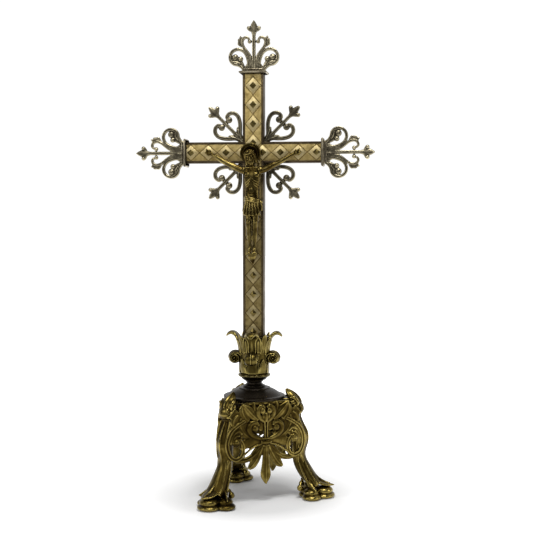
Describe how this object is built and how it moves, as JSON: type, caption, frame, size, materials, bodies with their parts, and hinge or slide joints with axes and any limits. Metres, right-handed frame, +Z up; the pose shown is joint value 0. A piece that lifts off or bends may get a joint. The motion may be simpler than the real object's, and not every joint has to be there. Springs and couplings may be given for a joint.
{
  "type": "altar cross",
  "caption": "Standing altar cross with a figure, fleur-de-lis finials and corner scrolls, turning on a pierced base with hoofed feet.",
  "frame": {"origin": "on the floor, on the upright axis that the cross turns about", "axes": "+Z up, +X along the crossbar towards the figure's left hand, -Y is the front that the figure faces"},
  "size_m": [0.328, 0.2012, 0.65],
  "materials": {
    "plate_brass": "stamped sheet brass, worn gilding, light yellow, satin",
    "bar_brass": "browned brass with worn edges, satin",
    "ornament_brass": "aged cast brass, grey-brown with yellow wear",
    "capital_brass": "cast brass, golden olive with dark recesses",
    "base_brass": "cast brass, golden olive with dark recesses",
    "dark_patina": "brown-black chemical patina, satin",
    "figure_brass": "cast brass, golden brown, worn on the high parts",
    "iron": "dull grey iron"
  },
  "bodies": {
    "base": {"dome": "dark_patina", "leg_back": "base_brass", "leg_front_left": "base_brass", "leg_right": "base_brass", "leg_screws": "iron", "neck": "dark_patina", "panel_back_right": "base_brass", "panel_front": "base_brass", "panel_left": "base_brass", "panel_rivets": "base_brass", "spider_plate": "iron"},
    "cross": {"acanthus_leaf_back": "capital_brass", "acanthus_leaf_front": "capital_brass", "acanthus_leaf_left": "capital_brass", "acanthus_leaf_right": "capital_brass", "back_plate": "plate_brass", "capital_bell": "capital_brass", "capital_ring": "capital_brass", "collar_left": "ornament_brass", "collar_right": "ornament_brass", "collar_top": "ornament_brass", "crossbar_left": "bar_brass", "crossbar_right": "bar_brass", "figure": "figure_brass", "figure_arm_left": "figure_brass", "figure_arm_right": "figure_brass", "figure_step": "figure_brass", "finial_left": "ornament_brass", "finial_right": "ornament_brass", "finial_top": "ornament_brass", "foot_nails": "figure_brass", "front_plate": "plate_brass", "halo": "figure_brass", "hand_nails": "figure_brass", "rod_nut": "iron", "rod_washer": "iron", "shaft": "bar_brass", "spray_lower_left": "ornament_brass", "spray_lower_right": "ornament_brass", "spray_upper_left": "ornament_brass", "spray_upper_right": "ornament_brass", "tie_rod": "iron", "volute_back": "capital_brass", "volute_front": "capital_brass", "volute_left": "capital_brass", "volute_right": "capital_brass"}
  },
  "joints": [
    {"name": "cross_swivel", "type": "hinge", "parent": "base", "child": "cross", "pos_m": [0, 0, 0.161], "axis": [0, 0, 1], "continuous": true}
  ]
}
